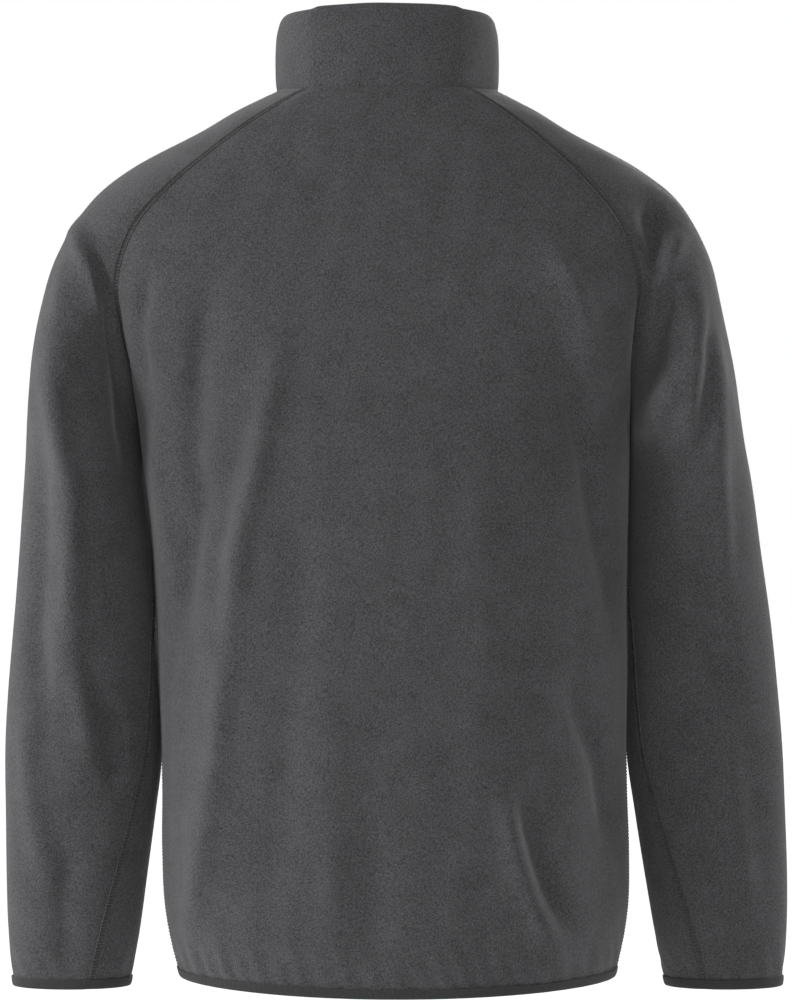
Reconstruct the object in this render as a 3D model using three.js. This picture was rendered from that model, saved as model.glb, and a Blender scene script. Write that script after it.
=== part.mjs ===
// A raglan microfleece pullover that keeps its worn, hollow form: back, front, two sleeves, a folded stand collar
// and a knitted elastic binding on the hem and on each cuff. Millimetres, +Z up. The wearer faces -Y, so the
// wearer's left is +X. The origin is the middle of the neck base, where neck and shoulders hold the garment.
import * as THREE from "three";

// Driving dimensions.
const CLOTH = 2;
const SEAM_SHIFT = 0.17;
const COLLAR_HEIGHT = 65;
const COLLAR_SIDE_DROP = 10;
const COLLAR_ROLL = 2.5;
const HEM_DIP = 6;
const COLLAR_LAYER_GAP = 0.5;
const COLLAR_LEAN_BACK = 0.14;
const COLLAR_LEAN_FRONT = 0.03;
const COLLAR_BULGE = 1.2;
const COLLAR_SEAM_GAP = 1.6;
const BINDING_HEIGHT = 8;
const BINDING_CLOTH = 1;
const BINDING_CLEARANCE = 0.4;
const BODY_COLUMNS = 20;
const BODY_ROWS = 9;
const YOKE_ROWS = 8;
const SLEEVE_COLUMNS = 14;
const SLEEVE_ROWS = 10;
const COLLAR_COLUMNS = 32;
const CENTRE_BACK_NECK = { y: 68, z: -5 };
const CENTRE_FRONT_NECK = { y: -82, z: -70 };

const FLEECE = new THREE.MeshStandardMaterial({ color: 0x4a4a4b, roughness: 0.95, metalness: 0 });
const ELASTIC = new THREE.MeshStandardMaterial({ color: 0x353536, roughness: 0.7, metalness: 0 });

// Half sections of the body from the underarm to the hem: half width, and depth to the back and to the front.
const BODY = [
  { z: -255, half: 192, back: 112, front: -128 },
  { z: -300, half: 189, back: 108, front: -126 },
  { z: -370, half: 184.5, back: 103, front: -123 },
  { z: -440, half: 183, back: 103, front: -121 },
  { z: -520, half: 180.5, back: 107, front: -120 },
  { z: -590, half: 181.5, back: 111, front: -119 },
  { z: -640, half: 179.5, back: 112, front: -117 },
  { z: -675, half: 173, back: 108, front: -112 },
  { z: -689, half: 169, back: 105, front: -110 },
];

// Depth at the centre back and centre front above the underarm.
const YOKE = [
  { z: -255, back: 112, front: -128 },
  { z: -200, back: 111, front: -127 },
  { z: -140, back: 107, front: -118 },
  { z: -90, back: 99, front: -96 },
  { z: -70, back: 94, front: -82 },
  { z: -40, back: 85, front: -82 },
  { z: -5, back: 68, front: -82 },
];

// Left raglan seams from neck to underarm. body and sleeve are the angles, in degrees from +X towards the
// opposite face, at which each cloth runs outwards there; pull is the length of each cloth's first run.
const BACK_RAGLAN = [
  { x: 62, y: 53, z: -4, body: 50, sleeve: 50, pull: 14, top: 30 },
  { x: 84, y: 60, z: -17, body: 34, sleeve: 34, pull: 16, top: 36 },
  { x: 125.5, y: 66, z: -48, body: 28, sleeve: 28, pull: 24, top: 42 },
  { x: 163, y: 72, z: -82, body: 22, sleeve: 20, pull: 30, top: 46 },
  { x: 191, y: 72, z: -119, body: 34, sleeve: 8, pull: 34, top: 54 },
  { x: 200, y: 62, z: -157, body: 72, sleeve: -22, pull: 42, top: 66 },
  { x: 196, y: 42, z: -195, body: 98, sleeve: -58, pull: 58, top: 78 },
  { x: 192, y: 22, z: -228, body: 98, sleeve: -66, pull: 74, top: 86 },
  { x: 192, y: -2, z: -255, body: 90, sleeve: -80, pull: 90, top: 91 },
];
const FRONT_RAGLAN = [
  { x: 72, y: -48, z: -25, body: 48, sleeve: 48, pull: 14, top: 30 },
  { x: 98, y: -66, z: -52, body: 34, sleeve: 34, pull: 18, top: 36 },
  { x: 122, y: -78, z: -80, body: 30, sleeve: 28, pull: 24, top: 44 },
  { x: 146, y: -86, z: -108, body: 28, sleeve: 22, pull: 30, top: 52 },
  { x: 168, y: -87, z: -138, body: 32, sleeve: 10, pull: 36, top: 62 },
  { x: 184, y: -78, z: -168, body: 52, sleeve: -12, pull: 46, top: 72 },
  { x: 192, y: -58, z: -198, body: 84, sleeve: -46, pull: 60, top: 82 },
  { x: 192, y: -32, z: -228, body: 96, sleeve: -66, pull: 76, top: 90 },
  { x: 192, y: -2, z: -255, body: 90, sleeve: -80, pull: 92, top: 92 },
];

// Crown of the left sleeve, from the neck along the shoulder and down the outside of the arm.
const SHOULDER = [
  { x: 86, y: -7, z: -1 },
  { x: 99, y: -7, z: -9 },
  { x: 135, y: -8, z: -27 },
  { x: 169, y: -8, z: -47 },
  { x: 204.5, y: -8, z: -66 },
  { x: 228, y: -7, z: -86 },
  { x: 243, y: -6, z: -105 },
  { x: 252, y: -5, z: -125 },
  { x: 263, y: -4, z: -164 },
  { x: 271, y: -3, z: -203 },
  { x: 277.5, y: -2, z: -255 },
];

// Rings of the left sleeve below the underarm. turn is how far, in degrees, the sleeve seam lies behind the inside.
const SLEEVE = [
  { z: -255, inner: 192, outer: 277.5, depth: 138, y: -2, turn: 0 },
  { z: -300, inner: 190.5, outer: 285, depth: 130, y: -24, turn: 2 },
  { z: -360, inner: 185.5, outer: 292, depth: 116, y: -28, turn: 8 },
  { z: -440, inner: 184, outer: 300, depth: 97, y: -27, turn: 22 },
  { z: -520, inner: 183, outer: 305.5, depth: 84, y: -25, turn: 34 },
  { z: -590, inner: 192, outer: 306.5, depth: 78, y: -23, turn: 48 },
  { z: -640, inner: 199, outer: 306.5, depth: 73, y: -23, turn: 58 },
  { z: -680, inner: 206.5, outer: 304, depth: 67, y: -24, turn: 66 },
  { z: -700, inner: 211, outer: 301.5, depth: 62, y: -25, turn: 68 },
];

// How the garment hangs: a sideways drift and a slight turn about the upright axis.
const HANG = [
  { z: -700, drift: -8, turn: 0 },
  { z: -600, drift: -6.5, turn: 0 },
  { z: -480, drift: -4.5, turn: 0 },
  { z: -360, drift: -2, turn: 1 },
  { z: -280, drift: 1.5, turn: 2.5 },
  { z: -200, drift: 3.5, turn: 4 },
  { z: -120, drift: 3, turn: 3.5 },
  { z: -40, drift: 1, turn: 1.5 },
  { z: 0, drift: 0, turn: 0 },
];

// The largest folds, each a soft ridge (rise above 0) or trough (below 0) along a line of x, z places.
const BACK_FOLDS = [
  { rise: 4, width: 21, line: [[83, -227], [102, -307], [114, -386], [130, -513], [149, -624]] },
  { rise: -4, width: 20, line: [[136, -174], [148, -283], [143, -326], [155, -379], [166, -471]] },
  { rise: -4, width: 20, line: [[-134, -222], [-153, -295], [-170, -379], [-173, -412]] },
  { rise: 3, width: 20, line: [[-124, -133], [-144, -162], [-158, -222]] },
  { rise: -4, width: 20, line: [[-140, -467], [-162, -524], [-170, -584]] },
  { rise: 4, width: 20, line: [[-88, -546], [-97, -584], [-109, -624], [-140, -671]] },
];
const FRONT_FOLDS = [
  { rise: 4, width: 22, line: [[-100, -235], [-112, -330], [-118, -430], [-142, -600]] },
  { rise: -4, width: 20, line: [[-142, -190], [-150, -300], [-158, -440]] },
  { rise: -4, width: 20, line: [[138, -215], [152, -300], [160, -400]] },
  { rise: 4, width: 22, line: [[92, -450], [104, -560], [128, -650]] },
];
const SLEEVE_LEFT_FOLDS = [
  { rise: -4, width: 17, line: [[226, -120], [212, -180], [202, -243]] },
  { rise: 4, width: 18, line: [[258, -190], [249, -282], [245, -441], [230, -516]] },
];
const SLEEVE_RIGHT_FOLDS = [
  { rise: -5, width: 16, line: [[-204, -90], [-205, -128], [-205, -165]] },
  { rise: 4, width: 17, line: [[-226, -112], [-205, -160]] },
  { rise: 4, width: 17, line: [[-226, -222], [-202, -268]] },
];

const DEGREE = Math.PI / 180;

// Every column of a table at one value of its key column, smoothly between the rows.
function smooth(table, key, at) {
  const rows = table[0][key] < table.at(-1)[key] ? table : [...table].reverse();
  const last = rows.length - 1;
  const value = Math.min(Math.max(at, rows[0][key]), rows[last][key]);
  let low = 0;
  while (low < last - 1 && value > rows[low + 1][key]) low += 1;
  const step = rows[low + 1][key] - rows[low][key];
  const t = (value - rows[low][key]) / step;
  const slope = (i, column) => {
    const before = rows[Math.max(i - 1, 0)];
    const after = rows[Math.min(i + 1, last)];
    return ((after[column] - before[column]) / (after[key] - before[key])) * step;
  };
  const made = {};
  for (const column of Object.keys(rows[0])) {
    const [a, b] = [rows[low][column], rows[low + 1][column]];
    const [p, q] = [slope(low, column), slope(low + 1, column)];
    made[column] = a + t * (p + t * (3 * (b - a) - 2 * p - q + t * (2 * (a - b) + p + q)));
  }
  return made;
}

// A table of points with an extra column: its share of the length from the first row.
function alongLength(table) {
  let run = 0;
  const reach = table.map((row, i) => {
    const before = table[Math.max(i - 1, 0)];
    run += Math.hypot(row.x - before.x, row.y - before.y, row.z - before.z);
    return run;
  });
  return table.map((row, i) => ({ ...row, along: reach[i] / run }));
}

const backRaglan = alongLength(BACK_RAGLAN);
const frontRaglan = alongLength(FRONT_RAGLAN);
const shoulder = alongLength(SHOULDER);
const UNDERARM = BODY[0].z;
const HEM = BODY.at(-1).z;
const CUFF = SLEEVE.at(-1).z;

const point = (row) => new THREE.Vector3(row.x, row.y, row.z);

// A cloth row from start to end whose first and last runs follow two given vectors.
function bow(start, startRun, end, endRun, count) {
  const curve = new THREE.CubicBezierCurve3(start, start.clone().add(startRun), end.clone().add(endRun), end);
  return Array.from({ length: count + 1 }, (_, i) => curve.getPointAt(i / count));
}

// The outward run of a cloth that leaves a raglan at an angle; face is 1 at the back and -1 at the front.
function run(degrees, length, face) {
  const angle = degrees * DEGREE;
  return new THREE.Vector3(length * Math.cos(angle), -face * length * Math.sin(angle), 0);
}

// Half a body row, from the left edge to the centre; the other half is its mirror image.
function bodyRow(edge, degrees, centreY, centreZ, face) {
  const centre = new THREE.Vector3(0, centreY, centreZ);
  const depth = Math.abs(centreY - edge.y);
  const reach = 0.3 * depth + 0.34 * depth * Math.sin(degrees * DEGREE);
  const half = bow(
    edge,
    run(degrees, -reach, face),
    centre,
    new THREE.Vector3(0.56 * edge.x, 0, 0),
    BODY_COLUMNS / 2,
  );
  const mirrored = half.slice(0, -1).map((p) => new THREE.Vector3(-p.x, p.y, p.z));
  return [...half, ...mirrored.reverse()];
}

// The back runs from the left edge to the right, and the front from right to left, so both face outwards.
function bodyGrid(face) {
  const side = face > 0 ? "back" : "front";
  const raglan = face > 0 ? backRaglan : frontRaglan;
  const neck = face > 0 ? CENTRE_BACK_NECK : CENTRE_FRONT_NECK;
  const rows = [];
  for (let i = 0; i < BODY_ROWS; i += 1) {
    const z = THREE.MathUtils.lerp(HEM, UNDERARM, i / BODY_ROWS);
    const size = smooth(BODY, "z", z);
    const edge = new THREE.Vector3(size.half, -2, z);
    const dip = HEM_DIP * (i / BODY_ROWS - 1) ** 4;
    rows.push(bodyRow(edge, 90, size[side], z, face).map((p) => sagged(p, edge, z - dip)));
  }
  for (let i = YOKE_ROWS; i >= 0; i -= 1) {
    const t = i / YOKE_ROWS;
    const edge = smooth(raglan, "along", t);
    const z = face > 0 ? edge.z : THREE.MathUtils.lerp(neck.z, UNDERARM, t);
    const row = bodyRow(point(edge), edge.body, smooth(YOKE, "z", z)[side], z, face);
    rows.push(row.map((p) => sagged(p, edge, z)));
  }
  return face > 0 ? rows : rows.map((row) => [...row].reverse());
}

// A row whose centre is lower than its edges dips smoothly between them.
function sagged(p, edge, centreZ) {
  const share = Math.min(Math.abs(p.x) / edge.x, 1);
  return new THREE.Vector3(p.x, p.y, THREE.MathUtils.lerp(centreZ, edge.z, share ** 2));
}

// The left sleeve: seamed rings up to the underarm, then arcs from the front raglan over the crown to the back one.
function sleeveGrid() {
  const rows = [];
  for (let i = 0; i < SLEEVE_ROWS; i += 1) {
    const z = THREE.MathUtils.lerp(CUFF, UNDERARM, i / SLEEVE_ROWS);
    const ring = smooth(SLEEVE, "z", z);
    const centre = (ring.inner + ring.outer) / 2;
    const half = (ring.outer - ring.inner) / 2;
    const start = (180 - ring.turn) * DEGREE;
    rows.push(
      Array.from({ length: SLEEVE_COLUMNS + 1 }, (_, j) => {
        const angle = start + (2 * Math.PI * j) / SLEEVE_COLUMNS;
        const x = centre + half * Math.cos(angle);
        return new THREE.Vector3(x, ring.y + (ring.depth / 2) * Math.sin(angle), z);
      }),
    );
  }
  for (let i = YOKE_ROWS; i >= 0; i -= 1) {
    const t = i / YOKE_ROWS;
    const back = smooth(backRaglan, "along", t);
    const front = smooth(frontRaglan, "along", t);
    const crown = point(smooth(shoulder, "along", t));
    const half = SLEEVE_COLUMNS / 2;
    const frontTop = new THREE.Vector3(0, -front.top, 0);
    const backTop = new THREE.Vector3(0, back.top, 0);
    const frontHalf = bow(point(front), run(front.sleeve, front.pull, -1), crown, frontTop, half);
    const backHalf = bow(point(back), run(back.sleeve, back.pull, 1), crown, backTop, half);
    rows.push([...frontHalf, ...backHalf.reverse().slice(1)]);
  }
  return rows;
}

const mirrorGrid = (grid) => grid.map((row) => row.map((p) => new THREE.Vector3(-p.x, p.y, p.z)).reverse());

function hang(grid) {
  for (const p of grid.flat()) {
    const pose = smooth(HANG, "z", p.z);
    const angle = pose.turn * DEGREE;
    const x = p.x * Math.cos(angle) + p.y * Math.sin(angle) + pose.drift;
    p.set(x, p.y * Math.cos(angle) - p.x * Math.sin(angle) * 0.2, p.z);
  }
  return grid;
}

// Outward unit normals of a grid whose columns and rows turn the outside towards the viewer.
function gridNormals(grid) {
  const last = grid[0].length - 1;
  const top = grid.length - 1;
  return grid.map((row, r) =>
    row.map((_, c) => {
      const across = row[Math.min(c + 1, last)].clone().sub(row[Math.max(c - 1, 0)]);
      const up = grid[Math.min(r + 1, top)][c].clone().sub(grid[Math.max(r - 1, 0)][c]);
      return across.cross(up).normalize();
    }),
  );
}

function foldRise(p, folds) {
  const at = new THREE.Vector3(p.x, 0, p.z);
  const near = new THREE.Vector3();
  let rise = 0;
  for (const fold of folds) {
    const joints = fold.line.map(([x, z]) => new THREE.Vector3(x, 0, z));
    const distances = joints.slice(1).map((end, i) => {
      new THREE.Line3(joints[i], end).closestPointToPoint(at, true, near);
      return near.distanceTo(at);
    });
    rise += fold.rise * Math.exp(-((Math.min(...distances) / fold.width) ** 2));
  }
  return rise;
}

// Pushes the folds into one face of a grid, and leaves its edges where its neighbours meet them.
function fold(grid, folds, face) {
  const normals = gridNormals(grid);
  grid.forEach((row, r) =>
    row.forEach((p, c) => {
      const edge = c === 0 || c === row.length - 1 || r === 0 || r === grid.length - 1;
      if (edge || normals[r][c].y * face < 0.15) return;
      p.addScaledVector(normals[r][c], foldRise(p, folds));
    }),
  );
  return grid;
}

const column = (grid, c, from, to) => grid.slice(from, to + 1).map((row) => row.at(c));
const inwards = (grid, c, r) => grid[r].at(c === 0 ? 1 : -2).clone().sub(grid[r].at(c)).normalize();

// Moves two edges that are sewn together apart, and gives them one normal where the cloth runs on smoothly.
function sew(a, b, rows) {
  for (let i = 0; i <= rows; i += 1) {
    const [ra, rb] = [a.from + i, b.from + i];
    const [ta, tb] = [inwards(a.cloth.grid, a.column, ra), inwards(b.cloth.grid, b.column, rb)];
    const [na, nb] = [a.cloth.normals[ra].at(a.column), b.cloth.normals[rb].at(b.column)];
    const folded = 1 + ta.dot(tb);
    const apart = (own, other, normal) =>
      own.clone().sub(other).addScaledVector(normal, -folded).normalize().multiplyScalar(SEAM_SHIFT);
    a.cloth.shifts[ra].at(a.column).add(apart(ta, tb, na));
    b.cloth.shifts[rb].at(b.column).add(apart(tb, ta, nb));
    if (na.dot(nb) < 0.5) continue;
    const shared = na.clone().add(nb).normalize();
    na.copy(shared);
    nb.copy(shared);
  }
}

function cloth(grid) {
  const shifts = grid.map((row) => row.map(() => new THREE.Vector3()));
  return { grid, normals: gridNormals(grid), shifts };
}

// A closed mesh from rows of points that form a ring in both directions or, with open set, a box-like shell.
function meshOf(name, points, quads, material) {
  const flat = points.flatMap((p) => [p.x, p.y, p.z]);
  const triangles = quads.flatMap(([a, b, c, d]) => {
    const first = points[a].distanceTo(points[c]) > points[b].distanceTo(points[d]);
    return first ? [a, b, c, a, c, d] : [a, b, d, b, c, d];
  });
  const geometry = new THREE.BufferGeometry();
  geometry.setAttribute("position", new THREE.Float32BufferAttribute(flat, 3));
  geometry.setIndex(triangles);
  geometry.computeVertexNormals();
  const mesh = new THREE.Mesh(geometry, material);
  mesh.name = name;
  return mesh;
}

// A panel: its outer grid, the same grid one cloth thickness further in, and the cut edges between them.
function panelMesh(name, piece) {
  const [rows, columns] = [piece.grid.length, piece.grid[0].length];
  const outer = piece.grid.flatMap((row, r) => row.map((p, c) => p.clone().add(piece.shifts[r][c])));
  const inner = outer.map((p, i) => p.clone().addScaledVector(piece.normals.flat()[i], -CLOTH));
  const under = rows * columns;
  const at = (r, c) => r * columns + c;
  const quads = [];
  for (let r = 0; r < rows - 1; r += 1) {
    for (let c = 0; c < columns - 1; c += 1) {
      const [a, b, d, e] = [at(r, c), at(r, c + 1), at(r + 1, c + 1), at(r + 1, c)];
      quads.push([a, b, d, e]);
      quads.push([b + under, a + under, e + under, d + under]);
    }
    const [low, high] = [at(r, 0), at(r + 1, 0)];
    quads.push([low, high, high + under, low + under]);
    const [lowEnd, highEnd] = [at(r, columns - 1), at(r + 1, columns - 1)];
    quads.push([highEnd, lowEnd, lowEnd + under, highEnd + under]);
  }
  for (let c = 0; c < columns - 1; c += 1) {
    const [a, b] = [at(0, c), at(0, c + 1)];
    quads.push([b, a, a + under, b + under]);
    const [d, e] = [at(rows - 1, c), at(rows - 1, c + 1)];
    quads.push([d, e, e + under, d + under]);
  }
  return meshOf(name, [...outer, ...inner], quads, FLEECE);
}

// A closed band: the same section, a list of points, at every place round a loop.
function bandMesh(name, sections, material) {
  const [count, size] = [sections.length, sections[0].length];
  const quads = [];
  for (let i = 0; i < count; i += 1) {
    const next = (i + 1) % count;
    for (let j = 0; j < size; j += 1) {
      const k = (j + 1) % size;
      quads.push([i * size + j, i * size + k, next * size + k, next * size + j]);
    }
  }
  return meshOf(name, sections.flat(), quads, material);
}

// Elastic binding folded over a cut edge: out is away from the cloth's outer face, and up is along the cloth.
function bindingMesh(name, places) {
  const outside = BINDING_CLEARANCE + BINDING_CLOTH;
  const inside = -CLOTH - outside;
  const tip = -outside;
  const section = [
    { out: outside, up: BINDING_HEIGHT + tip },
    { out: outside, up: tip + 0.7 },
    { out: -CLOTH / 2, up: tip },
    { out: inside, up: tip + 0.7 },
    { out: inside, up: BINDING_HEIGHT + tip },
    { out: inside + BINDING_CLOTH, up: BINDING_HEIGHT + tip },
    { out: inside + BINDING_CLOTH, up: -BINDING_CLEARANCE },
    { out: BINDING_CLEARANCE, up: -BINDING_CLEARANCE },
    { out: BINDING_CLEARANCE, up: BINDING_HEIGHT + tip },
  ];
  const sections = places.map(({ edge, normal, up }) =>
    section.map((s) => edge.clone().addScaledVector(normal, s.out).addScaledVector(up, s.up)),
  );
  return bandMesh(name, sections, ELASTIC);
}

function edgePlaces(piece) {
  const upward = (c) => piece.grid[1][c].clone().sub(piece.grid[0][c]).normalize();
  return piece.grid[0].slice(0, -1).map((edge, c) => ({ edge, normal: piece.normals[0][c], up: upward(c) }));
}

// The stand collar is one band of fleece folded in half: two layers that are joined only by the fold on top.
function collarMesh(pieces) {
  const neck = pieces.flatMap((piece) => piece.grid.at(-1).slice(0, -1));
  const loop = new THREE.CatmullRomCurve3(neck, true).getSpacedPoints(COLLAR_COLUMNS).slice(0, -1);
  const up = new THREE.Vector3(0, 0, 1);
  const sections = loop.map((base, i) => {
    const after = loop[(i + 1) % COLLAR_COLUMNS];
    const before = loop[(i + COLLAR_COLUMNS - 1) % COLLAR_COLUMNS];
    const out = after.clone().sub(before).setZ(0).normalize().cross(up);
    const lean = out.y > 0 ? COLLAR_LEAN_BACK : COLLAR_LEAN_FRONT;
    const rise = new THREE.Vector3(0, -lean * Math.abs(out.y), 1).normalize();
    const inside = -2 * CLOTH - COLLAR_LAYER_GAP;
    const middle = inside / 2;
    const height = COLLAR_HEIGHT - COLLAR_SIDE_DROP * (1 - Math.max(out.y, 0));
    const half = height / 2;
    const section = [
      { out: -CLOTH, up: COLLAR_SEAM_GAP },
      { out: -CLOTH + COLLAR_BULGE, up: half },
      { out: middle - COLLAR_ROLL, up: height - 2.6 },
      { out: inside + CLOTH + COLLAR_BULGE, up: half },
      { out: inside + CLOTH, up: COLLAR_SEAM_GAP },
      { out: inside, up: COLLAR_SEAM_GAP },
      { out: inside + COLLAR_BULGE, up: half },
      { out: inside - COLLAR_ROLL, up: height - 3 },
      { out: middle - COLLAR_ROLL, up: height },
      { out: -COLLAR_ROLL, up: height - 3 },
      { out: COLLAR_BULGE, up: half },
      { out: 0, up: COLLAR_SEAM_GAP },
    ];
    return section.map((s) => base.clone().addScaledVector(out, s.out).addScaledVector(rise, s.up));
  });
  return bandMesh("collar", sections, FLEECE);
}

const leftSleeve = sleeveGrid();
const back = cloth(fold(hang(bodyGrid(1)), BACK_FOLDS, 1));
const front = cloth(fold(hang(bodyGrid(-1)), FRONT_FOLDS, -1));
const right = cloth(fold(hang(mirrorGrid(leftSleeve)), SLEEVE_RIGHT_FOLDS, 1));
const left = cloth(fold(hang(leftSleeve), SLEEVE_LEFT_FOLDS, 1));

// Side seams, raglan seams and sleeve seams.
sew({ cloth: back, column: 0, from: 0 }, { cloth: front, column: -1, from: 0 }, BODY_ROWS);
sew({ cloth: back, column: -1, from: 0 }, { cloth: front, column: 0, from: 0 }, BODY_ROWS);
sew({ cloth: back, column: 0, from: BODY_ROWS }, { cloth: left, column: -1, from: SLEEVE_ROWS }, YOKE_ROWS);
sew({ cloth: back, column: -1, from: BODY_ROWS }, { cloth: right, column: 0, from: SLEEVE_ROWS }, YOKE_ROWS);
sew({ cloth: front, column: -1, from: BODY_ROWS }, { cloth: left, column: 0, from: SLEEVE_ROWS }, YOKE_ROWS);
sew({ cloth: front, column: 0, from: BODY_ROWS }, { cloth: right, column: -1, from: SLEEVE_ROWS }, YOKE_ROWS);
for (const sleeve of [left, right]) {
  sew({ cloth: sleeve, column: 0, from: 0 }, { cloth: sleeve, column: -1, from: 0 }, SLEEVE_ROWS - 1);
}

const group = new THREE.Group();
group.add(
  panelMesh("back", back),
  panelMesh("front", front),
  panelMesh("sleeve_left", left),
  panelMesh("sleeve_right", right),
  collarMesh([back, right, front, left]),
  bindingMesh("hem_binding", [...edgePlaces(back), ...edgePlaces(front)]),
  bindingMesh("cuff_binding_left", edgePlaces(left)),
  bindingMesh("cuff_binding_right", edgePlaces(right)),
);

export default group;
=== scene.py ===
"""A worn, hollow microfleece pullover: fleece shells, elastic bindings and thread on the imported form."""

import logging
import math
from dataclasses import dataclass, field
from enum import Enum

import bpy
import numpy as np
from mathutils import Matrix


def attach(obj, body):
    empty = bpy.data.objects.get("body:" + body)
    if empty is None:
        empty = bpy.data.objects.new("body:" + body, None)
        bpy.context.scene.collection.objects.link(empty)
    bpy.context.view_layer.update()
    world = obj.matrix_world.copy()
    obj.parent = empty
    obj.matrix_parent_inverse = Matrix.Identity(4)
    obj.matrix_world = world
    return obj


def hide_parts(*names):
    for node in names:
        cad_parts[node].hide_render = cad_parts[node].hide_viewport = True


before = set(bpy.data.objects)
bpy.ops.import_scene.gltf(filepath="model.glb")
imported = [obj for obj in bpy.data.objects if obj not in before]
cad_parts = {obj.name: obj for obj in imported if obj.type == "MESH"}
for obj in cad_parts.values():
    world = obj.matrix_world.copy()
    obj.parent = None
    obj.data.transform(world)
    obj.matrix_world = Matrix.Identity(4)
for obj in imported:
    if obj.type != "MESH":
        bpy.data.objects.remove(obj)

log = logging.getLogger("pullover")
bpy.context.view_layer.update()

MM = 0.001
FLEECE_THICKNESS = 2.0 * MM
COLLAR_THICKNESS = 1.9 * MM
BINDING_THICKNESS = 0.8 * MM
THREAD_THICKNESS = 0.5 * MM
RIM_EDGE = 1.5 * FLEECE_THICKNESS
BODY_ROWS, YOKE_ROWS, SLEEVE_ROWS = 9, 8, 10
BODY_COLUMNS, SLEEVE_COLUMNS = 20, 14
FINE = 10
EDGE_COLUMNS = 6

CREASE_STRENGTH = 2.5
EDGE_CALM = 14 * MM
RIPPLE_WAVES = 10
RIPPLE_PER_METRE = (70.0, 70.0, 26.0)
RIPPLE_RISE = 0.16
GATHER_PITCH, GATHER_DRIFT = 17, 31
GATHER_REACH, GATHER_START = 26 * MM, 5 * MM
SEAM_DIP, SEAM_DIP_REACH = 0.7 * MM, 2.2 * MM
PUCKER_RISE, PUCKER_PITCH = 0.35 * MM, 9
PUCKER_INSET, PUCKER_REACH = 5 * MM, 4 * MM
HIDDEN_CREASES_LOWER = 12

SEAM_BAND_WIDTH = 5.6 * MM
BAND_PROFILE = ((1.0, -0.2), (0.84, 0.9), (0.5, 0.25), (0.15, 0.5))
STITCH_PITCH = 2.6 * MM
RUNG_RISE = 0.5 * MM
RUNG_SHARES = (0.2, 0.6, 1, 1, 1, 1, 0.6, 0.2)
TOPSTITCH_DROP = 5.0 * MM
TOPSTITCH_DIP, TOPSTITCH_DIP_REACH = 0.6 * MM, 1.5 * MM
STITCH_SIZE = (0.6, 2.5, 0.5)
STITCH_LIFT = 0.1

SPECULAR_LEVEL = 0.22
SHEEN_ROUGHNESS = 0.45
SHEEN_COLOUR = "c8c8ca"
MOTTLE_PER_METRE = 38.0
RAMP_START, RAMP_END = 0.15, 0.85

FLOOR_BELOW_NECK = 1.45
FLOOR_GLOW = 0.8
WORLD_LIGHT, WORLD_SEEN = 0.24, 0.76
SENSOR_MM = 24


class Held(Enum):
    """How a sheet of cloth is held."""

    DRAPED = "draped"
    STRETCHED = "stretched"
    FOLDED = "folded"


@dataclass(frozen=True)
class Crease:
    """A soft ridge (rise above 0) or trough (rise below 0) along a line of x, z places, in millimetres."""

    rise: float
    width: float
    line: tuple[tuple[float, float], ...]


BACK_CREASES = (
    Crease(2.4, 9, ((84, -215), (92, -263), (102, -307), (110, -343), (115, -386), (122, -429))),
    Crease(2.2, 10, ((122, -429), (128, -500), (136, -560), (144, -610), (153, -650))),
    Crease(-2.6, 9, ((137, -168), (143, -222), (148, -283), (143, -326), (155, -379), (164, -450))),
    Crease(-1.8, 10, ((112, -250), (122, -310), (128, -360))),
    Crease(-2.6, 9, ((-132, -205), (-144, -258), (-153, -295), (-160, -331), (-170, -379), (-173, -412))),
    Crease(2.0, 9, ((-122, -125), (-144, -162), (-156, -198), (-158, -222))),
    Crease(-2.4, 8, ((-138, -462), (-152, -497), (-162, -524), (-168, -557), (-170, -584))),
    Crease(2.6, 9, ((-86, -535), (-97, -584), (-109, -624), (-122, -650), (-138, -668))),
    Crease(-2.6, 8, ((-100, -545), (-112, -590), (-125, -625), (-137, -648))),
    Crease(-1.6, 14, ((6, -560), (8, -620), (12, -670))),
    Crease(1.5, 14, ((40, -470), (46, -560), (40, -640))),
    Crease(-1.3, 16, ((62, -330), (70, -420), (78, -520), (96, -620))),
    Crease(1.3, 16, ((-66, -300), (-74, -420), (-66, -520))),
    Crease(1.8, 8, ((172, -240), (176, -300), (168, -380))),
    Crease(-2.2, 7, ((183, -150), (190, -190), (186, -240))),
)
FRONT_CREASES = (
    Crease(2.4, 10, ((-96, -225), (-108, -310), (-116, -400), (-124, -470))),
    Crease(-2.4, 10, ((-140, -185), (-150, -270), (-156, -360), (-160, -440))),
    Crease(-2.4, 10, ((134, -200), (148, -280), (156, -350), (160, -410))),
    Crease(2.2, 10, ((90, -440), (102, -530), (116, -600), (128, -650))),
    Crease(-2.0, 9, ((104, -560), (118, -620), (130, -655))),
    Crease(1.6, 14, ((-40, -500), (-50, -580), (-44, -650))),
    Crease(-1.5, 15, ((20, -300), (14, -420), (22, -540))),
    Crease(1.8, 10, ((122, -120), (144, -160), (154, -215))),
)
SLEEVE_LEFT_CREASES = (
    Crease(-3.0, 6, ((231, -112), (217, -150), (211, -190), (204, -243), (200, -300))),
    Crease(3.0, 8, ((242, -108), (226, -142), (220, -185))),
    Crease(2.6, 9, ((258, -190), (254, -243), (249, -282), (243, -320), (245, -380), (245, -441))),
    Crease(2.2, 9, ((245, -441), (238, -473), (230, -516))),
    Crease(-2.2, 10, ((270, -260), (268, -340), (272, -430), (262, -500))),
    Crease(-2.0, 9, ((222, -470), (214, -500), (212, -540))),
    Crease(1.8, 10, ((282, -480), (276, -560), (262, -620))),
    Crease(-1.8, 9, ((246, -590), (252, -640), (248, -680))),
)
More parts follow.
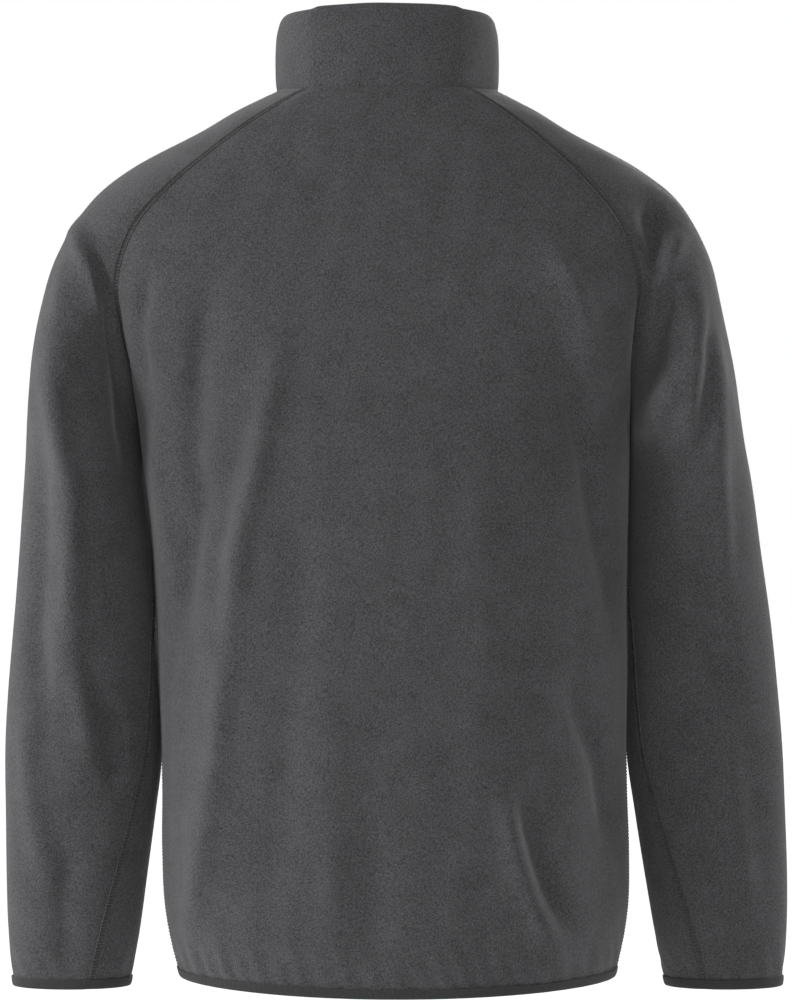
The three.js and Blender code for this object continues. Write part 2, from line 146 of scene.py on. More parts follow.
SLEEVE_RIGHT_CREASES = (
    Crease(-3.4, 8, ((-200, -92), (-204, -128), (-204, -160))),
    Crease(3.2, 8, ((-226, -114), (-212, -140), (-200, -166))),
    Crease(-2.6, 8, ((-222, -150), (-208, -190), (-202, -225))),
    Crease(3.2, 8, ((-222, -226), (-208, -250), (-196, -274))),
    Crease(2.4, 8, ((-238, -166), (-236, -215), (-232, -266))),
    Crease(-2.2, 7, ((-244, -180), (-244, -230), (-240, -280))),
    Crease(2.2, 8, ((-249, -190), (-252, -243), (-256, -300), (-262, -380))),
    Crease(-2.2, 10, ((-236, -330), (-246, -410), (-262, -480))),
    Crease(1.8, 10, ((-262, -500), (-272, -570), (-280, -640))),
)
SLEEVE_HIDDEN_CREASES = (
    Crease(2.4, 9, ((222, -150), (238, -190), (256, -220))),
    Crease(-2.4, 9, ((214, -200), (232, -240), (250, -262))),
    Crease(2.2, 9, ((212, -380), (236, -410), (262, -420))),
    Crease(-2.2, 9, ((210, -430), (236, -455), (264, -470))),
    Crease(2.0, 10, ((250, -520), (262, -590), (256, -650))),
)


def linear(hex_colour: str) -> tuple[float, float, float, float]:
    """Turn an sRGB hex colour into linear RGBA.

    Args:
        hex_colour: Six hex digits.

    Returns:
        The colour in linear light, with an alpha of 1.
    """
    shares = [int(hex_colour[i : i + 2], 16) / 255 for i in (0, 2, 4)]
    made = [s / 12.92 if s <= 0.04045 else ((s + 0.055) / 1.055) ** 2.4 for s in shares]
    return (made[0], made[1], made[2], 1.0)


def add_node(
    tree: bpy.types.NodeTree, kind: str, inputs: dict[str, object], **settings: object
) -> bpy.types.Node:
    """Add a shader node with its settings, values and links.

    Args:
        tree: The material's node tree.
        kind: The node's type name.
        inputs: For each input socket, a value or the output socket that is linked to it.
        settings: The node's own properties.

    Returns:
        The new node.
    """
    node = tree.nodes.new(kind)
    for name, value in settings.items():
        setattr(node, name, value)
    for name, value in inputs.items():
        socket = node.inputs[int(name) if name.isdigit() else name]
        if isinstance(value, bpy.types.NodeSocket):
            tree.links.new(value, socket)
        else:
            socket.default_value = value
    return node


@dataclass(frozen=True)
class Finish:
    """A textile finish: brushed microfleece, knitted elastic or sewing thread, told apart by its values.

    Microfleece is polyester knit brushed to a short nap: matte, finely speckled, with soft pale rims where
    the nap is seen edge on. Knitted elastic is smoother and darker, with fine ribs. Thread is a shade darker
    with a slight shine.
    """

    name: str
    dark: str
    light: str
    grain_mm: float
    bump: float
    bump_mm: float
    roughness: float
    sheen: float
    rungs_mm: float = 0.0

    def material(self) -> bpy.types.Material:
        """Build the node material.

        Returns:
            The finished material.
        """
        made = bpy.data.materials.new(self.name)
        made.use_nodes = True
        tree = made.node_tree
        shader = tree.nodes["Principled BSDF"]
        shader.inputs["Roughness"].default_value = self.roughness
        shader.inputs["Specular IOR Level"].default_value = SPECULAR_LEVEL
        shader.inputs["Sheen Weight"].default_value = self.sheen
        shader.inputs["Sheen Roughness"].default_value = SHEEN_ROUGHNESS
        shader.inputs["Sheen Tint"].default_value = linear(SHEEN_COLOUR)
        place = add_node(tree, "ShaderNodeTexCoord", {}).outputs["Object"]
        grain = add_node(
            tree,
            "ShaderNodeTexNoise",
            {"Vector": place, "Scale": 1 / (self.grain_mm * MM), "Detail": 3.0, "Roughness": 0.7},
        ).outputs["Fac"]
        cloud = add_node(
            tree,
            "ShaderNodeTexNoise",
            {"Vector": place, "Scale": MOTTLE_PER_METRE, "Detail": 3.0, "Roughness": 0.6},
        ).outputs["Fac"]
        blend = add_node(
            tree, "ShaderNodeMath", {"0": grain, "1": 2.2, "2": -0.75}, operation="MULTIPLY_ADD"
        ).outputs[0]
        mottle = add_node(
            tree, "ShaderNodeMath", {"0": cloud, "1": 0.35, "2": blend}, operation="MULTIPLY_ADD"
        ).outputs[0]
        colour = add_node(tree, "ShaderNodeValToRGB", {"Fac": mottle})
        colour.color_ramp.elements[0].position = RAMP_START
        colour.color_ramp.elements[0].color = linear(self.dark)
        colour.color_ramp.elements[1].position = RAMP_END
        colour.color_ramp.elements[1].color = linear(self.light)
        tree.links.new(colour.outputs["Color"], shader.inputs["Base Color"])
        height = grain
        if self.rungs_mm:
            uv = add_node(tree, "ShaderNodeUVMap", {}, uv_map="Cut").outputs["UV"]
            waves = add_node(
                tree,
                "ShaderNodeTexWave",
                {"Vector": uv, "Scale": 1 / (self.rungs_mm * MM) / math.tau * 0.5, "Distortion": 0.4},
                bands_direction="Y",
            ).outputs["Fac"]
            height = add_node(
                tree, "ShaderNodeMath", {"0": waves, "1": 1.2, "2": grain}, operation="MULTIPLY_ADD"
            ).outputs[0]
        bump = add_node(
            tree,
            "ShaderNodeBump",
            {"Height": height, "Strength": self.bump, "Distance": self.bump_mm * MM},
        ).outputs["Normal"]
        tree.links.new(bump, shader.inputs["Normal"])
        return made


# The nap's real grain, about 0.3 mm, is too fine to show, so it is drawn at 1.2 mm.
FLEECE = Finish("brushed microfleece knit", "303031", "58585a", 1.2, 0.7, 0.8, 0.95, 0.32)
ELASTIC = Finish("knitted elastic binding", "29292a", "3b3b3c", 0.7, 0.35, 0.25, 0.72, 0.12, 1.1)
THREAD = Finish("spun polyester thread", "29292a", "565657", 1.0, 0.4, 0.3, 0.8, 0.2)


class CadGrid:
    """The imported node's mesh read back as the quad grid that it was made from."""

    def __init__(self, node: str) -> None:
        """Merge the node's corners and pair its triangles across their longest edges."""
        mesh = bpy.data.objects[node].data
        raw = np.zeros(len(mesh.vertices) * 3)
        mesh.vertices.foreach_get("co", raw)
        keys = np.round(raw.reshape(-1, 3) / 2e-5).astype(np.int64)
        _, first, back = np.unique(keys, axis=0, return_index=True, return_inverse=True)
        self.points = raw.reshape(-1, 3)[first]
        back = back.ravel()
        owners: dict[tuple[int, int], list[int]] = {}
        triangles = []
        for face in mesh.polygons:
            corners = [int(back[v]) for v in face.vertices]
            if len(corners) != 3 or len(set(corners)) != 3:
                continue
            edges = [tuple(sorted((corners[i], corners[(i + 1) % 3]))) for i in range(3)]
            for edge in edges:
                owners.setdefault(edge, []).append(len(triangles))
            triangles.append(edges)
        rim = [min(self.length(*edge) for edge in edges) < RIM_EDGE for edges in triangles]
        diagonals = set()
        for number, edges in enumerate(triangles):
            if rim[number]:
                long_edges = [e for e in edges if self.length(*e) >= RIM_EDGE]
                diagonals |= {e for e in long_edges if all(rim[k] for k in owners[e])}
                continue
            longest = max(edges, key=lambda e: self.length(*e))
            other = next(k for k in owners[longest] if k != number)
            if longest == max(triangles[other], key=lambda e: self.length(*e)):
                diagonals.add(longest)
        self.near: dict[int, set[int]] = {}
        self.faces: dict[tuple[int, int], set[int]] = {}
        for number, edges in enumerate(triangles):
            across = next((e for e in edges if e in diagonals), None)
            quad = min(owners[across]) if across else number
            for edge in edges:
                if edge in diagonals:
                    continue
                self.faces.setdefault(edge, set()).add(quad)
                self.near.setdefault(edge[0], set()).add(edge[1])
                self.near.setdefault(edge[1], set()).add(edge[0])

    def straight(self, start: int, step: int, most: int) -> list[int]:
        """Follow the grid straight on from a first step.

        Args:
            start: The first corner.
            step: The second corner.
            most: The most steps to take.

        Returns:
            The corners passed, ending at a corner of the piece, back at the start, or after the most steps.
        """
        line = [start, step]
        while len(line) <= most:
            before, here = line[-2], line[-1]
            if len(self.near[here]) == 3:
                break
            behind = self.faces[tuple(sorted((before, here)))]
            onward = [
                n
                for n in self.near[here]
                if n != before and not self.faces[tuple(sorted((here, n)))] & behind
            ]
            if len(onward) != 1:
                break
            line.append(onward[0])
            if onward[0] == start:
                break
        return line

    def length(self, a: int, b: int) -> float:
        """Distance between two corners."""
        return float(np.linalg.norm(self.points[a] - self.points[b]))

    def panel(self, rows: int, columns: int) -> np.ndarray:
        """Read the outer face of a cut panel.

        Args:
            rows: Its number of rows of quads, from the hem up.
            columns: Its number of columns of quads.

        Returns:
            Points of shape (rows + 1, columns + 1, 3), turned so that across x up points outwards.
        """
        corners = sorted((v for v, n in self.near.items() if len(n) == 3), key=lambda v: self.points[v][2])
        best = None
        for corner in corners[:4]:
            through = min(self.near[corner], key=lambda n: self.length(corner, n))
            sides = [self.straight(corner, n, rows + columns) for n in self.near[corner] if n != through]
            edge = next((s for s in sides if len(s) == rows + 1), None)
            foot = next((s for s in sides if len(s) == columns + 1), None)
            if edge is None or foot is None:
                continue
            lines = [foot]
            for r in range(1, rows + 1):
                here = edge[r]
                skip = {edge[r - 1], min(self.near[here], key=lambda n: self.length(here, n))}
                if r < rows:
                    skip.add(edge[r + 1])
                lines.append(self.straight(here, next(iter(self.near[here] - skip)), columns))
            grid = self.points[np.array(lines)]
            across, up = grid[:-1, 1:] - grid[:-1, :-1], grid[1:, :-1] - grid[:-1, :-1]
            area = float(np.linalg.norm(np.cross(across, up), axis=2).sum())
            if best is None or area > best[0]:
                best = (area, grid, self.points[corner] - self.points[through])
        _, grid, outwards = best
        normal = np.cross(grid[0, 1] - grid[0, 0], grid[1, 0] - grid[0, 0])
        return grid if normal @ outwards > 0 else grid[:, ::-1]


def finer(points: np.ndarray, times: int, closed: bool = False) -> np.ndarray:
    """Add points between the rows of a grid, smoothly.

    Args:
        points: Grid whose first axis is refined.
        times: How many new steps each old step becomes.
        closed: Whether the last row joins the first.

    Returns:
        The finer grid. A closed one has no repeated row.
    """
    if closed:
        padded = np.concatenate([points[-1:], points, points[:2]])
    else:
        before = 3 * points[0] - 3 * points[1] + points[2]
        after = 3 * points[-1] - 3 * points[-2] + points[-3]
        padded = np.concatenate([before[None], points, after[None]])
    made = []
    for i in range(1, len(padded) - 2):
        a, b, c, d = padded[i - 1 : i + 3]
        for t in np.arange(times) / times:
            made.append(
                0.5
                * (2 * b + (c - a) * t + (2 * a - 5 * b + 4 * c - d) * t**2 + (3 * b - a - 3 * c + d) * t**3)
            )
    if not closed:
        made.append(padded[-2])
    return np.array(made)


def normals(grid: np.ndarray) -> np.ndarray:
    """Outward unit normals of a panel's grid."""
    across, up = np.gradient(grid, axis=1), np.gradient(grid, axis=0)
    out = np.cross(across, up)
    return out / np.maximum(np.linalg.norm(out, axis=2, keepdims=True), 1e-12)


def line_distance(grid: np.ndarray, line: tuple[tuple[float, float], ...]) -> tuple[np.ndarray, np.ndarray]:
    """Distance in the x, z plane from each point to a crease's line, and how far along the nearest place is.

    Args:
        grid: Points in metres.
        line: Places in millimetres.

    Returns:
        Distances in millimetres, and shares of the line from 0 to 1.
    """
    flat = grid[..., [0, 2]] / MM
    joints = np.array(line, float)
    steps = np.diff(joints, axis=0)
    runs = np.concatenate([[0.0], np.cumsum(np.linalg.norm(steps, axis=1))])
    nearest = np.full(flat.shape[:-1], np.inf)
    share = np.zeros(flat.shape[:-1])
    for start, step, low, high in zip(joints[:-1], steps, runs[:-1], runs[1:]):
        t = np.clip(((flat - start) @ step) / (step @ step), 0, 1)
        distance = np.linalg.norm(flat - start - t[..., None] * step, axis=-1)
        closer = distance < nearest
        nearest = np.where(closer, distance, nearest)
        share = np.where(closer, (low + t * (high - low)) / runs[-1], share)
    return nearest, share


def creased(grid: np.ndarray, creases: tuple[Crease, ...], face: float, calm: np.ndarray) -> np.ndarray:
    """Push soft creases into the side of a grid that faces one way.

    Args:
        grid: Points in metres.
        creases: The creases.
        face: 1 for the side facing +Y, -1 for the side facing -Y.
        calm: Share of the creases that each point takes, 0 at the edges.

    Returns:
        The creased points.
    """
    out = normals(grid)
    facing = np.clip(out[..., 1] * face * 4, 0, 1)
    rise = np.zeros(grid.shape[:2])
    for crease in creases:
        distance, share = line_distance(grid, crease.line)
        taper = np.clip(np.minimum(share, 1 - share) * 5, 0.0, 1.0) * 0.75 + 0.25
        rise += crease.rise * taper * np.exp(-((distance / crease.width) ** 2))
    return grid + out * (rise * facing * calm * CREASE_STRENGTH)[..., None] * MM


def ripples(grid: np.ndarray, seed: int) -> np.ndarray:
    """Gentle unevenness of hand-made cloth, from a few seeded waves, in metres."""
    draw = np.random.default_rng(seed)
    total = np.zeros(grid.shape[:2])
    for _ in range(RIPPLE_WAVES):
        wave = draw.normal(size=3) * np.array(RIPPLE_PER_METRE)
        total += np.sin(grid @ wave + draw.uniform(0, math.tau)) * RIPPLE_RISE * MM
    return total


def from_edge(grid: np.ndarray, axis: int, end: bool = False) -> np.ndarray:
    """Length along the cloth from one edge of a grid to each point, in metres."""
    turned = np.flip(grid, axis) if end else grid
    steps = np.linalg.norm(np.diff(turned, axis=axis), axis=2)
    pad = [(0, 0), (0, 0)]
    pad[axis] = (1, 0)
    made = np.cumsum(np.pad(steps, pad), axis=axis)
    return np.flip(made, axis) if end else made


def sheet_object(
    name: str, grid: np.ndarray, thickness: float, closed: bool, finish: Finish
) -> bpy.types.Object:
    """Make a shell from a grid of points, solidified inwards.

    Args:
        name: The piece's name.
        grid: Points of its outer face, in metres.
        thickness: How thick the cloth is, in metres.
        closed: Whether the last row joins the first.
        finish: Its finish.

    Returns:
        The finished object.
    """
    rows, columns = grid.shape[:2]
    last = rows if closed else rows - 1
    index = np.arange(rows * columns).reshape(rows, columns)
    if closed:
        index = np.concatenate([index, index[:1]])
    quads = np.stack(
        [index[:last, :-1], index[:last, 1:], index[1 : last + 1, 1:], index[1 : last + 1, :-1]], axis=-1
    )
    mesh = bpy.data.meshes.new(name)
    mesh.from_pydata(grid.reshape(-1, 3).tolist(), [], quads.reshape(-1, 4).tolist())
    cut = mesh.uv_layers.new(name="Cut")
    down, over = from_edge(grid, 0), from_edge(grid, 1)
    places = np.stack([over, down], axis=-1).reshape(-1, 2)
    loops = np.zeros(len(mesh.loops), np.int32)
    mesh.loops.foreach_get("vertex_index", loops)
    cut.data.foreach_set("uv", places[loops].ravel())
    made = bpy.data.objects.new(name, mesh)
    bpy.context.collection.objects.link(made)
    bpy.ops.object.select_all(action="DESELECT")
    made.select_set(True)
    bpy.context.view_layer.objects.active = made
    wall = made.modifiers.new("wall", "SOLIDIFY")
    wall.thickness = thickness
    wall.offset = -1.0
    bpy.ops.object.modifier_apply(modifier=wall.name)
    bpy.ops.object.shade_smooth_by_angle(angle=math.radians(50))
    made.data.materials.append(finish.material())
    return made


def declare(piece: bpy.types.Object, node: str, grid: np.ndarray) -> None:
    """Attach a piece of cloth to the root, hide the node it replaces and log the size it was cut to.

    Args:
        piece: The finished piece.
        node: The node it replaces.
        grid: Its outer face.
    """
    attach(piece, "root")
    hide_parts(node)
    over, down = from_edge(grid, 1)[:, -1], from_edge(grid, 0)[-1, :]
    across, up = np.diff(grid, axis=1)[:-1], np.diff(grid, axis=0)[:, :-1]
    area = float(np.linalg.norm(np.cross(across, up), axis=2).sum())
    wide, long = float(over.max()), float(down.max())
    area = min(area, wide * long)
    log.info("%s: %d faces, cut %.0f x %.0f mm", piece.name, len(piece.data.polygons), wide / MM, long / MM)


@dataclass
class Panel:
    """A fleece panel: the node's form, refined, with creases, seam dips and gathers."""

    node: str
    rows: int
    columns: int
    back_creases: tuple[Crease, ...]
    front_creases: tuple[Crease, ...]
    seed: int
    gathers: float
    grid: np.ndarray = field(init=False)

    def shape(self) -> None:
        """Work out the fine outer face."""
        coarse = CadGrid(self.node).panel(self.rows, self.columns)
        fine = finer(coarse, FINE)
        grid = np.swapaxes(finer(np.swapaxes(fine, 0, 1), FINE), 0, 1)
        sides = np.minimum(from_edge(grid, 1), from_edge(grid, 1, True))
        ends = np.minimum(from_edge(grid, 0), from_edge(grid, 0, True))
        calm = np.clip(sides / EDGE_CALM, 0, 1) * np.clip(ends / EDGE_CALM, 0, 1)
        grid = creased(grid, self.back_creases, 1.0, calm)
        grid = creased(grid, self.front_creases, -1.0, calm)
        low, high = from_edge(grid, 0), from_edge(grid, 0, True)
        over = from_edge(grid, 1) / MM
        gather = np.sin(over * math.tau / GATHER_PITCH + 1.4 * np.sin(over / GATHER_DRIFT + self.seed))
        fade = np.exp(-((low / GATHER_REACH) ** 2))
        gather = gather * fade * np.clip(low / GATHER_START, 0, 1) * self.gathers * MM
        dip = -SEAM_DIP * np.exp(-((sides / SEAM_DIP_REACH) ** 2))
        pucker = PUCKER_RISE * np.sin(low / MM * math.tau / PUCKER_PITCH)
        pucker = pucker * np.exp(-((sides - PUCKER_INSET) / PUCKER_REACH) ** 2)
        neck = -TOPSTITCH_DIP * np.exp(-(((high - TOPSTITCH_DROP) / TOPSTITCH_DIP_REACH) ** 2))
        neck = neck * np.clip(sides / (2 * MM), 0, 1)
        shift = (gather + ripples(grid, self.seed) + pucker) * calm + dip + neck
        self.grid = grid + normals(grid) * shift[..., None]

    def build(self) -> bpy.types.Object:
        """Make the panel's piece."""
        self.shape()
        piece = sheet_object("fleece_" + self.node, self.grid, FLEECE_THICKNESS, False, FLEECE)
        declare(piece, self.node, self.grid)
        return piece


def beside(grid: np.ndarray, last: bool, rows: slice, distance: float, lift: float) -> np.ndarray:
    """A line on a panel at a fixed distance from its side edge, lifted off it.

    Args:
        grid: The panel's fine grid.
        last: Whether the edge is the last column, not the first.
        rows: The rows to follow.
        distance: Metres from the edge along the cloth.
        lift: Metres off the surface.

    Returns:
        One point for each row.
    """
    side = (grid[rows, ::-1] if last else grid[rows])[:, :EDGE_COLUMNS]
    out = (normals(grid)[rows, ::-1] if last else normals(grid)[rows])[:, :EDGE_COLUMNS]
    run = from_edge(side, 1)
    made = []
    for points, facing, reach in zip(side, out, run):
        place = [np.interp(distance, reach, points[:, k]) for k in range(3)]
        turned = [np.interp(distance, reach, facing[:, k]) for k in range(3)]
        made.append(np.array(place) + lift * np.array(turned) / max(np.linalg.norm(turned), 1e-9))
    return np.array(made)


@dataclass
class SeamBand:
    """A twin-needle coverstitched seam: a narrow raised band whose threads cross it like a ladder's rungs."""

    name: str
    first: np.ndarray
    first_last: bool
    first_rows: slice
    second: np.ndarray
    second_last: bool
    second_rows: slice

    def build(self) -> bpy.types.Object:
        """Make the band's piece."""
        half = SEAM_BAND_WIDTH / 2
        lines = [
            beside(self.first, self.first_last, self.first_rows, half * share, rise * MM)
            for share, rise in BAND_PROFILE
        ]
        lines += [
            beside(self.second, self.second_last, self.second_rows, half * share, rise * MM)
            for share, rise in reversed(BAND_PROFILE)
        ]
        strip = np.stack(lines, axis=1)
        run = from_edge(strip, 0)[:, 3]
        count = int(run[-1] / (STITCH_PITCH / 4))
        steps = np.linspace(0, run[-1], count)
        fine = np.stack(
            [
                np.stack([np.interp(steps, run, strip[:, j, k]) for k in range(3)], -1)
                for j in range(len(lines))
            ],
            1,
        )
        rung = RUNG_RISE * np.cos(steps / STITCH_PITCH * math.tau)[:, None]
        weight = np.array(RUNG_SHARES)[None, :]
        out = normals(fine)
        if self.faces_in(out):
            fine = fine[:, ::-1]
            out = normals(fine)
        fine = fine + out * (rung * weight)[..., None]
        piece = sheet_object(self.name, fine, THREAD_THICKNESS, False, THREAD)
        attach(piece, "root")
        log.info("%s: %.0f mm of seam", piece.name, run[-1] / MM)
        return piece

    def faces_in(self, out: np.ndarray) -> bool:
        """Whether the strip's normals point into the panel that it lies on."""
        own = normals(self.first)[self.first_rows][:, -1 if self.first_last else 0]
        half = len(own) // 2
        return float(own[half] @ out[len(out) // 2, 4]) < 0


def even_loop(points: np.ndarray, count: int) -> np.ndarray:
    """Places at even distances round a closed line.

    Args:
        points: The line's points, the first not repeated.
        count: How many places to take.

    Returns:
        The places.
    """
    closed = np.concatenate([points, points[:1]])
    run = np.concatenate([[0.0], np.cumsum(np.linalg.norm(np.diff(closed, axis=0), axis=1))])
    steps = np.arange(count) / count * run[-1]
    return np.stack([np.interp(steps, run, closed[:, k]) for k in range(3)], axis=-1)


def softened(values: np.ndarray, passes: int) -> np.ndarray:
    """Even out a closed line or its directions by averaging neighbours."""
    for _ in range(passes):
        values = (np.roll(values, 1, axis=0) + 2 * values + np.roll(values, -1, axis=0)) / 4
    return values


def section_sheet(
    base: np.ndarray, out: np.ndarray, up: np.ndarray, section: tuple, steps: int
) -> np.ndarray:
    """Sweep an open section round a loop.

    Args:
        base: The loop's points.
        out: Unit vectors off the cloth at each point.
        up: Unit vectors up along the cloth at each point.
        section: Pairs of millimetres off and up, from the outer foot over the fold to the inner foot.
        steps: Steps between two of the section's points.

    Returns:
        A grid of points whose first axis goes round the loop.
    """
    lines = [base + out * o * MM + up * u * MM for o, u in section]
    return np.swapaxes(finer(np.stack(lines), steps), 0, 1)


def facing_out(grid: np.ndarray) -> np.ndarray:
    """A swept loop, turned so that its first line's normals point away from its middle."""
    away = grid[:, 2, :2] - grid.mean(axis=(0, 1))[:2]
    return grid if np.sum(normals(grid)[:, 2, :2] * away) > 0 else grid[::-1]


@dataclass
class Collar:
    """The stand collar: one band of fleece folded in half, with a smooth folded top edge."""

    neck: np.ndarray
    height: float = 65.0
    side_drop: float = 10.0
    lean_back: float = 0.14
    lean_front: float = 0.03
    loop_places: int = 320
    soft_passes: int = 6
    swells: int = 5
    swell_rise: float = 0.5
    section: tuple[tuple[float, float], ...] = (
        (-1.2, -1.5), (0.2, 1.5), (1.0, 10), (1.3, 30), (0.6, 48), (-1.2, 58), (-2.4, 62),
        (-4.6, 65), (-6.6, 62.5), (-7.2, 58), (-4.6, 46), (-3.3, 30), (-4.5, 1.6),
    )

    def build(self) -> bpy.types.Object:
        """Make the collar's piece."""
        base = softened(even_loop(self.neck, self.loop_places), self.soft_passes)
        along = np.roll(base, -1, axis=0) - np.roll(base, 1, axis=0)
        along[:, 2] = 0
        along /= np.linalg.norm(along, axis=1, keepdims=True)
        out = np.cross(along, np.array([0.0, 0.0, 1.0]))
        lean = np.where(out[:, 1] > 0, self.lean_back, self.lean_front) * np.abs(out[:, 1])
        rise = np.stack([np.zeros_like(lean), -lean, np.ones_like(lean)], axis=-1)
        rise /= np.linalg.norm(rise, axis=1, keepdims=True)
        tall = 1 - self.side_drop / self.height * (1 - np.clip(out[:, 1], 0, 1))
        grid = facing_out(section_sheet(base, out, rise * tall[:, None], self.section, 5))
        high = from_edge(grid, 1)
        turn = np.arctan2(grid[..., 1], grid[..., 0])
        swell = np.sin(turn * self.swells + 0.7) * self.swell_rise * MM * np.sin(high / high.max() * 6)
        grid = grid + normals(grid) * (ripples(grid, 7) * 0.9 + swell)[..., None]
        piece = sheet_object("fleece_collar", grid, COLLAR_THICKNESS, True, FLEECE)
        declare(piece, "collar", grid)
        return piece


@dataclass
class Binding:
    """Knitted elastic folded over a cut edge."""

    node: str
    panels: tuple[np.ndarray, ...]
    section: tuple[tuple[float, float], ...] = (
        (1.4, 6.6), (1.7, 3.4), (1.5, 0.2), (0.7, -1.0), (-1.0, -1.4),
        (-2.7, -1.0), (-3.5, 0.2), (-3.7, 3.4), (-3.4, 6.6),
    )

    def build(self) -> bpy.types.Object:
        """Make the binding's piece."""
        base = np.concatenate([grid[0, :-1] for grid in self.panels])
        out = softened(np.concatenate([normals(grid)[0, :-1] for grid in self.panels]), 3)
        out /= np.linalg.norm(out, axis=1, keepdims=True)
        up = softened(np.concatenate([(grid[4] - grid[0])[:-1] for grid in self.panels]), 3)
        up /= np.linalg.norm(up, axis=1, keepdims=True)
        grid = facing_out(section_sheet(softened(base, 2), out, up, self.section, 3))
        piece = sheet_object("elastic_" + self.node, grid, BINDING_THICKNESS, True, ELASTIC)
        declare(piece, self.node, grid)
        return piece


@dataclass
class StitchLine:
    """A row of single stitches: one modelled stitch, copied along a line on the cloth."""

    name: str
    line: np.ndarray
    facing: np.ndarray
    pitch: float = 3.2 * MM

    def build(self) -> bpy.types.Object:
        """Make the stitches' piece, joined as one mesh."""
        bpy.ops.object.select_all(action="DESELECT")
        bpy.ops.mesh.primitive_uv_sphere_add(segments=6, ring_count=5, radius=0.5)
        pattern = bpy.context.object
        shape = np.array([v.co[:] for v in pattern.data.vertices]) * np.array(STITCH_SIZE) * MM
        faces = [tuple(f.vertices) for f in pattern.data.polygons]
        bpy.data.objects.remove(pattern)
        run = np.concatenate([[0.0], np.cumsum(np.linalg.norm(np.diff(self.line, axis=0), axis=1))])
        points, polygons = [], []
        for at in np.arange(self.pitch, run[-1] - self.pitch, self.pitch):
            here = np.array([np.interp(at, run, self.line[:, k]) for k in range(3)])
            ahead = np.array([np.interp(at + MM, run, self.line[:, k]) for k in range(3)])
            out = np.array([np.interp(at, run, self.facing[:, k]) for k in range(3)])
            out /= np.linalg.norm(out)
            way = (ahead - here) / np.linalg.norm(ahead - here)
            side = np.cross(way, out)
            frame_axes = np.stack([side, way, out])
            polygons += [tuple(len(points) + v for v in f) for f in faces]
            points += (here + shape @ frame_axes + out * STITCH_LIFT * MM).tolist()
        mesh = bpy.data.meshes.new(self.name)
        mesh.from_pydata(points, [], polygons)
        made = bpy.data.objects.new(self.name, mesh)
        bpy.context.collection.objects.link(made)
        bpy.ops.object.select_all(action="DESELECT")
        made.select_set(True)
        bpy.context.view_layer.objects.active = made
        bpy.ops.object.shade_smooth()
        made.data.materials.append(THREAD.material())
        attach(made, "root")
        return made


@dataclass
class Studio:
    """A pale floor, soft light and the camera behind the garment, level with its middle."""

    middle: tuple[float, float, float] = (-6.6 * MM, 0.0, -320 * MM)
    distance: float = 3.0
    height_seen: float = 0.780
    lights: tuple[tuple[str, tuple[float, float, float], float, float], ...] = (
        ("key", (2.7, 1.2, 0.5), 0.7, 62),
        ("fill", (-0.6, 3.0, 0.3), 1.4, 22),
        ("rim_left", (2.6, -0.7, 0.2), 0.9, 30),
        ("rim_right", (-2.6, -0.7, 0.2), 0.9, 30),
        ("front", (-0.8, -3.0, 0.9), 1.2, 55),
    )

    def build(self) -> None:
        """Make the floor, the lights, the world and the camera."""
        bpy.ops.object.select_all(action="DESELECT")
        bpy.ops.mesh.primitive_plane_add(size=60, location=(0, 0, -FLOOR_BELOW_NECK))
        floor = bpy.context.object
        floor.name = "floor"
        pale = bpy.data.materials.new("matte white paper")
        pale.use_nodes = True
        tree = pale.node_tree
        shader = tree.nodes["Principled BSDF"]
        shader.inputs["Base Color"].default_value = linear("f4f4f4")
        shader.inputs["Roughness"].default_value = 0.9
        rays = add_node(tree, "ShaderNodeLightPath", {})
        strength = add_node(
            tree, "ShaderNodeMath", {"0": rays.outputs["Is Camera Ray"], "1": FLOOR_GLOW}, operation="MULTIPLY"
        )
        shader.inputs["Emission Color"].default_value = (1, 1, 1, 1)
        tree.links.new(strength.outputs[0], shader.inputs["Emission Strength"])
        floor.data.materials.append(pale)
        for name, place, size, power in self.lights:
            self.light(name, place, size, power)
        world = bpy.data.worlds.new("studio")
        bpy.context.scene.world = world
        world.use_nodes = True
        tree = world.node_tree
        background = tree.nodes["Background"]
        background.inputs["Color"].default_value = (1, 1, 1, 1)
        rays = add_node(tree, "ShaderNodeLightPath", {})
        seen = add_node(
            tree,
            "ShaderNodeMath",
            {"0": rays.outputs["Is Camera Ray"], "1": rays.outputs["Is Glossy Ray"]},
            operation="MAXIMUM",
        )
        level = add_node(
            tree,
            "ShaderNodeMath",
            {"0": seen.outputs[0], "1": WORLD_SEEN, "2": WORLD_LIGHT},
            operation="MULTIPLY_ADD",
        )
        tree.links.new(level.outputs[0], background.inputs["Strength"])
        data = bpy.data.cameras.new("camera")
        data.sensor_fit = "VERTICAL"
        data.sensor_height = SENSOR_MM
        data.lens = SENSOR_MM * self.distance / self.height_seen
        camera = bpy.data.objects.new("camera", data)
        camera.location = (self.middle[0], self.distance, self.middle[2])
        camera.rotation_euler = (math.pi / 2, 0, math.pi)
        bpy.context.collection.objects.link(camera)
        bpy.context.scene.camera = camera
        bpy.context.scene.view_settings.view_transform = "Standard"

    def light(self, name: str, place: tuple[float, float, float], size: float, power: float) -> None:
        """Add a square area light that looks at the garment's middle."""
        data = bpy.data.lights.new(name, "AREA")
        data.size = size
        data.energy = power
        made = bpy.data.objects.new(name, data)
        made.location = place
        towards = np.array(self.middle) - np.array(place)
        made.rotation_euler = (
            math.atan2(math.hypot(towards[0], towards[1]), -towards[2]),
            0,
            math.atan2(towards[1], towards[0]) - math.pi / 2,
        )
        bpy.context.collection.objects.link(made)


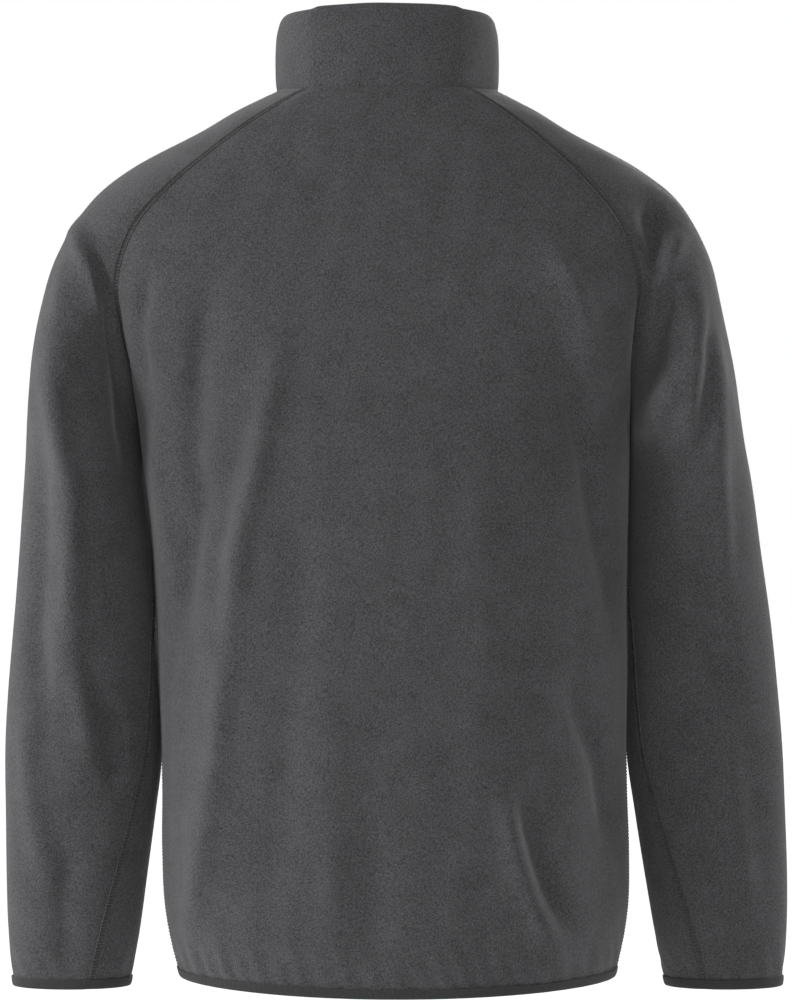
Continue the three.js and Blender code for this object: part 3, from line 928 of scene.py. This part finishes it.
def main() -> None:
    """Build the stage and the garment, piece by piece, and report each."""
    Studio().build()
    back = Panel("back", BODY_ROWS + YOKE_ROWS, BODY_COLUMNS, BACK_CREASES, (), 3, 1.0)
    front = Panel("front", BODY_ROWS + YOKE_ROWS, BODY_COLUMNS, (), FRONT_CREASES, 5, 1.0)
    rows = SLEEVE_ROWS + YOKE_ROWS
    hidden_right = tuple(
        Crease(c.rise, c.width, tuple((-x, z - HIDDEN_CREASES_LOWER) for x, z in c.line))
        for c in SLEEVE_HIDDEN_CREASES
    )
    left = Panel("sleeve_left", rows, SLEEVE_COLUMNS, SLEEVE_LEFT_CREASES, SLEEVE_HIDDEN_CREASES, 11, 0.7)
    right = Panel("sleeve_right", rows, SLEEVE_COLUMNS, SLEEVE_RIGHT_CREASES, hidden_right, 13, 0.7)
    for panel in (back, front, left, right):
        panel.build()
    body, yoke = slice(0, BODY_ROWS * FINE + 1), slice(BODY_ROWS * FINE, None)
    arm, head = slice(0, SLEEVE_ROWS * FINE + 1), slice(SLEEVE_ROWS * FINE, None)
    bands = (
        SeamBand("seam_side_left", back.grid, False, body, front.grid, True, body),
        SeamBand("seam_side_right", back.grid, True, body, front.grid, False, body),
        SeamBand("seam_raglan_back_left", back.grid, False, yoke, left.grid, True, head),
        SeamBand("seam_raglan_back_right", back.grid, True, yoke, right.grid, False, head),
        SeamBand("seam_raglan_front_left", front.grid, True, yoke, left.grid, False, head),
        SeamBand("seam_raglan_front_right", front.grid, False, yoke, right.grid, True, head),
        SeamBand("seam_sleeve_left", left.grid, False, arm, left.grid, True, arm),
        SeamBand("seam_sleeve_right", right.grid, False, arm, right.grid, True, arm),
    )
    for band in bands:
        band.build()
    Collar(np.concatenate([panel.grid[-1, :-1] for panel in (back, right, front, left)])).build()
    Binding("hem_binding", (back.grid, front.grid)).build()
    Binding("cuff_binding_left", (left.grid,)).build()
    Binding("cuff_binding_right", (right.grid,)).build()
    for panel in (back, front, left, right):
        flipped = np.swapaxes(panel.grid, 0, 1)
        line = beside(flipped, True, slice(None), TOPSTITCH_DROP, 0.0)
        facing = -beside(flipped, True, slice(None), TOPSTITCH_DROP, 1.0) + line
        StitchLine("topstitch_" + panel.node, line, facing).build()


if __name__ == "__main__":
    logging.basicConfig(level=logging.INFO)
    main()
